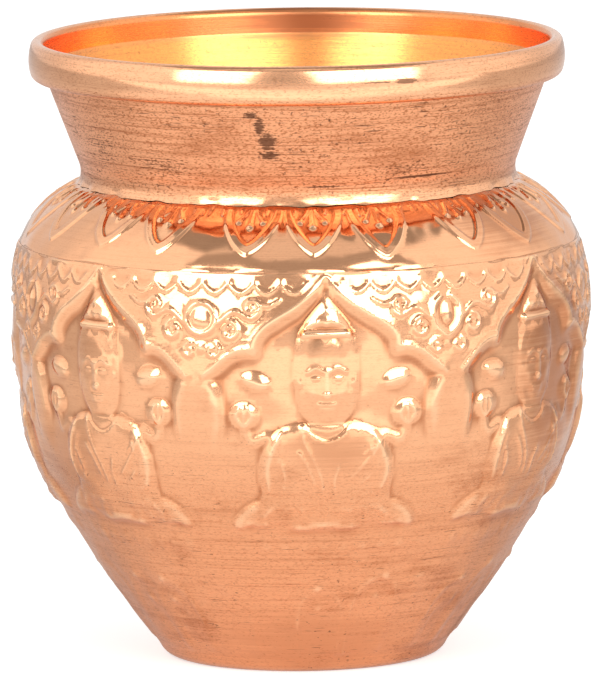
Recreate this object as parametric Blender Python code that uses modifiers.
"""Copper kalash pot: belly, petal shoulder, flared neck with a wired rim, and a plate in the foot.

The pot is raised from thin copper sheet and brazed at three laps. Every sheet is an outline in the
(radius, height) plane, turned about +Z and given the thickness of the sheet. The belly's outline changes
round the pot, because eight arched panels are pressed into it. The origin is the middle of the foot, on
the table, and the pot stands up along +Z.
"""

import math

import bmesh
import bpy

MM = 0.001

# Sheet and fits
SHEET = 0.7 * MM
FIT_GAP = 0.3 * MM

# Foot: a flat ring with a round corner up into the belly
FOOT_RADIUS = 25.0 * MM
FOOT_CORNER = 3.7 * MM
FOOT_FLANGE = 6.0 * MM
FOOT_LEAN = math.radians(34.9)

# Belly: the widest ring, and how full its curve is next to the foot and to that ring
BELLY_RADIUS = 57.4 * MM
BELLY_HEIGHT = 67.0 * MM
FOOT_FULLNESS = 0.413
LOWER_FULLNESS = 0.442
UPPER_FULLNESS = 0.53

# Frieze: arched panels pressed into the belly, the front one wider than the rest, all fading downwards
PANELS = 8
FRONT_PANEL = math.radians(5.2)
FRONT_PITCH = math.radians(49.6)
PANEL_DEPTH = 1.3 * MM
PANEL_SLOPE = 3.0 * MM
FADE_START = 10.0 * MM
FADE_END = 23.0 * MM

# Arch over a panel: shares of the panel's half width, and how far its edge is above the widest ring there
ARCH_SHARES = (0.0, 0.15, 0.36, 0.575, 0.80, 0.92)
ARCH_RISES = (13.0 * MM, 10.3 * MM, 6.6 * MM, 0.8 * MM, -1.2 * MM, -6.3 * MM)

# Shoulder: its slope and fullness next to the neck, and its lap over the belly's set-in edge
SHOULDER_SLOPE = math.radians(31.0)
SHOULDER_FULLNESS = 0.79
SEAM_RISE = 15.5 * MM
LAP_RISE = 3.5 * MM
JOGGLE_RISE = 1.2 * MM

# Neck: the narrowest ring above the belly's, its hollow foot and its flare
WAIST_RADIUS = 42.7 * MM
WAIST_RISE = 29.7 * MM
NECK_COVE = 1.6 * MM
NECK_FOOT = 2.4 * MM
NECK_FLARE = math.radians(20.6)
NECK_RISE = 20.3 * MM
SPIGOT_RISE = 3.5 * MM

# Rim: the lip above the crease in the bore, and the roll round the wire below it
LIP_RISE = 5.0 * MM
LIP_LEAN = math.radians(3.0)
LIP_BEND = 0.6 * MM
BAND_LEAN = math.radians(16.0)
BAND_FULLNESS = 0.34
WIRE_RADIUS = 0.6 * MM
WIRE_DROP = 0.1 * MM

# Filler: how far it reaches out from a sheet's edge and creeps up the wall
FILLER_REACH = 1.0 * MM
FILLER_CREEP = 1.6 * MM

# Spans that the turned circle and each stretch of outline are drawn with
TURN_STEPS = 48
CORNER_SPANS = 4
BELLY_SPANS = 5
PANEL_SPANS = 4
SPANDREL_SPANS = 3
LAP_SPANS = 2
SHOULDER_SPANS = 7
COVE_SPANS = 5
FOLD_SPANS = 6
BAND_SPANS = 4
ROLL_SPANS = 8
WIRE_SIDES = 8
FILLER_SPANS = 2

# Finishes: colour of each metal and roughness of each surface
COPPER = (0.80, 0.40, 0.24, 1.0)
DULL_COPPER = (0.62, 0.30, 0.18, 1.0)
BRASS = (0.76, 0.55, 0.26, 1.0)
EMBOSSED_ROUGHNESS = 0.28
POLISHED_ROUGHNESS = 0.22
BRUSHED_ROUGHNESS = 0.35
DULL_ROUGHNESS = 0.45

# Heights of the rings that the outlines share
WAIST_HEIGHT = BELLY_HEIGHT + WAIST_RISE
SEAM_HEIGHT = BELLY_HEIGHT + SEAM_RISE
CREASE_HEIGHT = WAIST_HEIGHT + NECK_RISE
LIP_HEIGHT = CREASE_HEIGHT + LIP_RISE
WIRE_HEIGHT = CREASE_HEIGHT - WIRE_DROP

# Fits: the set-in lap, the fold's outer bend, and the three nested bends at the neck's foot
LAP_INSET = SHEET + FIT_GAP
FOLD_BEND = LIP_BEND + SHEET
NECK_BEND = NECK_COVE + SHEET
MOUTH_BEND = NECK_BEND + FIT_GAP
ROLL_BEND = WIRE_RADIUS + FIT_GAP + SHEET
PLATE_TOP = 2 * SHEET + FIT_GAP
FLUSH_HEIGHT = SEAM_HEIGHT - FIT_GAP - JOGGLE_RISE
FADE_HEIGHT = BELLY_HEIGHT - FADE_END
MERGE = 0.01 * MM
CORNER_CENTRE = (FOOT_RADIUS, FOOT_CORNER)
COVE_CENTRE = (WAIST_RADIUS + NECK_COVE, WAIST_HEIGHT)

# Directions, as angles: the pot's front, and where the round bends start and end
FRONT = -math.pi / 2
DOWN = -math.pi / 2
LEFT = math.pi
SHOULDER_SIDE = 1.5 * math.pi - SHOULDER_SLOPE
FLARE_SIDE = math.pi - NECK_FLARE


def polar(centre, radius, angle):
    """Point at an angle on a circle in the (radius, height) plane."""
    return (centre[0] + radius * math.cos(angle), centre[1] + radius * math.sin(angle))


def arc(centre, radius, start, end, spans):
    """Points along an arc, both ends included."""
    return [polar(centre, radius, start + (end - start) * i / spans) for i in range(spans + 1)]


def curve_at(curve, t):
    """Point on a cubic curve given by its start, two pull points and end."""
    weights = ((1 - t) ** 3, 3 * t * (1 - t) ** 2, 3 * t**2 * (1 - t), t**3)
    return tuple(sum(w * point[axis] for w, point in zip(weights, curve)) for axis in range(2))


def outward_at(curve, t):
    """Unit normal on the outer side of a curve that climbs."""
    weights = ((1 - t) ** 2, 2 * t * (1 - t), t**2)
    steps = [(b[0] - a[0], b[1] - a[1]) for a, b in zip(curve, curve[1:])]
    across = sum(w * step[0] for w, step in zip(weights, steps))
    up = sum(w * step[1] for w, step in zip(weights, steps))
    length = math.hypot(across, up)
    return (up / length, -across / length)


def inset_at(curve, t, inset):
    """Point that lies a distance inside the curve's outer side."""
    point, normal = curve_at(curve, t), outward_at(curve, t)
    return (point[0] - inset * normal[0], point[1] - inset * normal[1])


def along(curve, start, end, spans, inset=0.0):
    """Points along a stretch of a curve, both ends included."""
    return [inset_at(curve, start + (end - start) * i / spans, inset) for i in range(spans + 1)]


def t_at_height(curve, height):
    """Place on a climbing curve where it reaches a height."""
    low, high = 0.0, 1.0
    for _ in range(50):
        middle = (low + high) / 2
        if curve_at(curve, middle)[1] < height:
            low = middle
        else:
            high = middle
    return (low + high) / 2


def lower_curve():
    """Outer side of the belly from the foot's corner up to the widest ring."""
    start = polar(CORNER_CENTRE, FOOT_CORNER, -FOOT_LEAN)
    rise = BELLY_HEIGHT - start[1]
    pull = FOOT_FULLNESS * rise
    return (
        start,
        (start[0] + pull * math.sin(FOOT_LEAN), start[1] + pull * math.cos(FOOT_LEAN)),
        (BELLY_RADIUS, BELLY_HEIGHT - LOWER_FULLNESS * rise),
        (BELLY_RADIUS, BELLY_HEIGHT),
    )


def upper_curve():
    """Outer side from the widest ring up to where the shoulder starts to turn up."""
    end = polar(COVE_CENTRE, MOUTH_BEND, SHOULDER_SIDE)
    pull = SHOULDER_FULLNESS * (BELLY_RADIUS - end[0])
    return (
        (BELLY_RADIUS, BELLY_HEIGHT),
        (BELLY_RADIUS, BELLY_HEIGHT + UPPER_FULLNESS * (end[1] - BELLY_HEIGHT)),
        (end[0] + pull, end[1] - pull * math.tan(SHOULDER_SLOPE)),
        end,
    )


def neck_face(height, depth):
    """Radius of the neck's flare at a height, a depth inside its outer face."""
    start = polar(COVE_CENTRE, NECK_COVE + depth, FLARE_SIDE)
    return start[0] + (height - start[1]) * math.tan(NECK_FLARE)


def wire_centre():
    """Middle of the rim wire, a gap clear of the neck's outer face."""
    clear = (FIT_GAP + WIRE_RADIUS) / math.cos(NECK_FLARE)
    return (neck_face(WIRE_HEIGHT, 0.0) + clear, WIRE_HEIGHT)


def lip_centre():
    """Centre of the fold at the top of the rim."""
    height = LIP_HEIGHT - FOLD_BEND
    fold_start = height + FOLD_BEND * math.sin(LIP_LEAN)
    wall = neck_face(CREASE_HEIGHT, SHEET) + (fold_start - CREASE_HEIGHT) * math.tan(LIP_LEAN)
    return (wall + FOLD_BEND * math.cos(LIP_LEAN), height)


def belly_point(height, inset):
    """Point of the belly at a height, a distance inside its outer side."""
    curve = upper_curve() if height > BELLY_HEIGHT else lower_curve()
    return inset_at(curve, t_at_height(curve, height), inset)


def steps(start, end, spans):
    """Evenly spaced values, both ends included."""
    return [start + (end - start) * i / spans for i in range(spans + 1)]


def panel_columns():
    """Columns of the belly: the angle of each, and its share of a panel's half width, 1 between two panels."""
    rest_pitch = 2 * (math.pi - FRONT_PITCH) / (PANELS - 2)
    pitches = [FRONT_PITCH] + [rest_pitch] * (PANELS - 2) + [FRONT_PITCH]
    columns, middle = [], FRONT + FRONT_PANEL
    for before, after in zip(pitches[-1:] + pitches, pitches):
        half = min(before, after) / 2
        columns += [(middle - half * share, share) for share in reversed(ARCH_SHARES[1:])]
        columns += [(middle + half * share, share) for share in ARCH_SHARES]
        columns.append((middle + after / 2, 1.0))
        middle += after
    start, share = columns[0]
    return columns + [(start + 2 * math.pi, share)]


def panel_depth(share, height):
    """Depth of a panel's ground: none between two panels, and fading out towards the foot."""
    if share >= ARCH_SHARES[-1]:
        return 0.0
    rise = min(1.0, (height - FADE_HEIGHT) / (FADE_END - FADE_START))
    return PANEL_DEPTH * rise**2 * (3 - 2 * rise)


def body_outline(share):
    """Belly along one column, from its set-in top edge down the outer side and in along the foot's flange."""
    upper, lower = upper_curve(), lower_curve()
    top = t_at_height(upper, SEAM_HEIGHT + LAP_RISE)
    set_in = t_at_height(upper, SEAM_HEIGHT - FIT_GAP)
    arch = BELLY_HEIGHT + ARCH_RISES[ARCH_SHARES.index(min(share, ARCH_SHARES[-1]))]
    ground = steps(arch - PANEL_SLOPE, FADE_HEIGHT, PANEL_SPANS)
    outline = along(upper, top, set_in, LAP_SPANS, LAP_INSET)
    outline += [belly_point(height, 0.0) for height in steps(FLUSH_HEIGHT, arch, SPANDREL_SPANS)]
    outline += [belly_point(height, panel_depth(share, height)) for height in ground]
    outline += along(lower, t_at_height(lower, FADE_HEIGHT), 0.0, BELLY_SPANS)[1:]
    outline += arc(CORNER_CENTRE, FOOT_CORNER, -FOOT_LEAN, DOWN, CORNER_SPANS)[1:]
    outline.append((FOOT_RADIUS - FOOT_FLANGE, 0.0))
    return outline


def shoulder_outline():
    """Shoulder from the spigot's edge down, round and out to the seam."""
    upper = upper_curve()
    outline = [(COVE_CENTRE[0] - MOUTH_BEND, WAIST_HEIGHT + SPIGOT_RISE)]
    outline += arc(COVE_CENTRE, MOUTH_BEND, LEFT, SHOULDER_SIDE, COVE_SPANS)
    outline += along(upper, 1.0, t_at_height(upper, SEAM_HEIGHT), SHOULDER_SPANS)[1:]
    return outline


def rim_band(fold_end, roll_start):
    """Bulging band between the folded lip and the roll."""
    pull = BAND_FULLNESS * (fold_end[1] - roll_start[1])
    out, down = pull * math.sin(BAND_LEAN), pull * math.cos(BAND_LEAN)
    return (
        fold_end,
        (fold_end[0] + out, fold_end[1] - down),
        (roll_start[0] + out, roll_start[1] + down),
        roll_start,
    )


def neck_outline():
    """Neck from its foot's edge up the bore, over the lip, down the band and round the wire."""
    foot = arc(COVE_CENTRE, NECK_BEND, SHOULDER_SIDE, FLARE_SIDE, COVE_SPANS)
    foot_edge = (
        foot[0][0] + NECK_FOOT * math.cos(SHOULDER_SLOPE),
        foot[0][1] - NECK_FOOT * math.sin(SHOULDER_SLOPE),
    )
    fold = arc(lip_centre(), FOLD_BEND, LEFT - LIP_LEAN, BAND_LEAN, FOLD_SPANS)
    roll_end = FLARE_SIDE + math.acos(WIRE_RADIUS / ROLL_BEND) - 2 * math.pi
    roll = arc(wire_centre(), ROLL_BEND, -BAND_LEAN, roll_end, ROLL_SPANS)
    outline = [foot_edge]
    outline += foot
    outline.append((neck_face(CREASE_HEIGHT, SHEET), CREASE_HEIGHT))
    outline += fold
    outline += along(rim_band(fold[-1], roll[0]), 0.0, 1.0, BAND_SPANS)[1:]
    outline += roll[1:]
    return outline


def plate_outline():
    """Upper side of the bottom plate, from its middle out to its edge."""
    return [(0.0, PLATE_TOP), (FOOT_RADIUS, PLATE_TOP)]


def wire_outline():
    """Round section of the rim wire, its outer side first and from the top down."""
    return arc(wire_centre(), WIRE_RADIUS, -DOWN, -DOWN - 2 * math.pi, WIRE_SIDES)[:-1]


def base_filler_outline():
    """Filler between the bottom plate's edge and the foot's round corner."""
    bend = FOOT_CORNER - SHEET - FIT_GAP
    low = DOWN + math.asin(FIT_GAP / bend)
    outer = arc(CORNER_CENTRE, bend, -FOOT_LEAN, low, CORNER_SPANS)
    return outer + [(FOOT_RADIUS + FIT_GAP, PLATE_TOP)]


def shoulder_filler_outline():
    """Filler in the corner between the belly's top edge and the shoulder's inner face."""
    upper = upper_curve()
    edge_height = SEAM_HEIGHT + LAP_RISE + FIT_GAP
    edge = t_at_height(upper, edge_height)
    creep = t_at_height(upper, edge_height + FILLER_CREEP)
    outer = along(upper, creep, edge, FILLER_SPANS, LAP_INSET)
    return outer + [inset_at(upper, edge, LAP_INSET + FILLER_REACH)]


def neck_filler_outline():
    """Filler in the corner between the spigot's edge and the neck's bore."""
    low = WAIST_HEIGHT + SPIGOT_RISE + FIT_GAP
    high = low + FILLER_CREEP
    outer = [(neck_face(height, LAP_INSET), height) for height in (high, low)]
    return outer + [(COVE_CENTRE[0] - MOUTH_BEND - SHEET / 2, low)]


def metal(name, colour, roughness):
    """Metal material of one piece."""
    material = bpy.data.materials.new(name)
    material.use_nodes = True
    shader = material.node_tree.nodes["Principled BSDF"]
    shader.inputs["Base Color"].default_value = colour
    shader.inputs["Metallic"].default_value = 1.0
    shader.inputs["Roughness"].default_value = roughness
    return material


def turned(name, outline, closed, material):
    """Object whose outline is turned a full circle about +Z."""
    mesh = bpy.data.meshes.new(name)
    edges = [(i, i + 1) for i in range(len(outline) - 1)]
    if closed:
        edges.append((len(outline) - 1, 0))
    mesh.from_pydata([(radius, 0.0, height) for radius, height in outline], edges, [])
    mesh.materials.append(material)
    piece = bpy.data.objects.new(name, mesh)
    screw = piece.modifiers.new("Turn", "SCREW")
    screw.axis = "Z"
    screw.angle = 2 * math.pi
    screw.steps = TURN_STEPS
    screw.render_steps = TURN_STEPS
    screw.use_merge_vertices = True
    screw.merge_threshold = MERGE
    screw.use_smooth_shade = True
    return piece


def thicken(piece):
    """Gives an open face the thickness of the sheet, with the metal behind the face."""
    wall = piece.modifiers.new("Sheet", "SOLIDIFY")
    wall.thickness = SHEET
    wall.offset = -1.0
    wall.use_even_offset = True
    wall.use_quality_normals = True
    return piece


def turned_sheet(name, outline, material):
    """Sheet piece whose exposed face is turned."""
    return thicken(turned(name, outline, False, material))


def pressed_sheet(name, columns, outline_at, material):
    """Sheet piece whose exposed face is a grid wrapped round +Z, with an outline for each of its columns."""
    outlines = {share: outline_at(share) for _, share in columns}
    across, down = len(columns) - 1, len(outlines[columns[0][1]]) - 1
    grid = bmesh.new()
    bmesh.ops.create_grid(grid, x_segments=across, y_segments=down, size=0.5)
    for vertex in grid.verts:
        angle, share = columns[round((0.5 + vertex.co.x) * across)]
        radius, height = outlines[share][round((0.5 - vertex.co.y) * down)]
        vertex.co = (radius * math.cos(angle), radius * math.sin(angle), height)
    bmesh.ops.remove_doubles(grid, verts=grid.verts, dist=MERGE)
    mesh = bpy.data.meshes.new(name)
    grid.to_mesh(mesh)
    grid.free()
    mesh.shade_smooth()
    mesh.materials.append(material)
    return thicken(bpy.data.objects.new(name, mesh))


def turned_ring(name, outline, material):
    """Solid ring: its closed section is turned."""
    return turned(name, outline, True, material)


def make_pieces():
    """The pot's sheets, wire and filler rings."""
    embossed = metal("embossed_copper", COPPER, EMBOSSED_ROUGHNESS)
    petal = metal("petal_copper", COPPER, POLISHED_ROUGHNESS)
    brushed = metal("brushed_copper", COPPER, BRUSHED_ROUGHNESS)
    plate = metal("plate_copper", DULL_COPPER, DULL_ROUGHNESS)
    wire = metal("wire_copper", DULL_COPPER, DULL_ROUGHNESS)
    sheets = [
        pressed_sheet("body_shell", panel_columns(), body_outline, embossed),
        turned_sheet("shoulder_cap", shoulder_outline(), petal),
        turned_sheet("neck_collar", neck_outline(), brushed),
        turned_sheet("base_disc", plate_outline(), plate),
        turned_ring("rim_wire", wire_outline(), wire),
    ]
    fillers = {
        "base_braze": base_filler_outline(),
        "shoulder_braze": shoulder_filler_outline(),
        "neck_braze": neck_filler_outline(),
    }
    rings = [
        turned_ring(name, outline, metal(name + "_brass", BRASS, DULL_ROUGHNESS))
        for name, outline in fillers.items()
    ]
    return sheets + rings


def build():
    """Clear the scene, then hang the pot's pieces on one empty at the middle of the foot."""
    for thing in list(bpy.data.objects):
        bpy.data.objects.remove(thing, do_unlink=True)
    home = bpy.data.collections.new("kalash_pot")
    bpy.context.scene.collection.children.link(home)
    foot_centre = bpy.data.objects.new("foot_centre", None)
    home.objects.link(foot_centre)
    for piece in make_pieces():
        home.objects.link(piece)
        piece.parent = foot_centre


build()
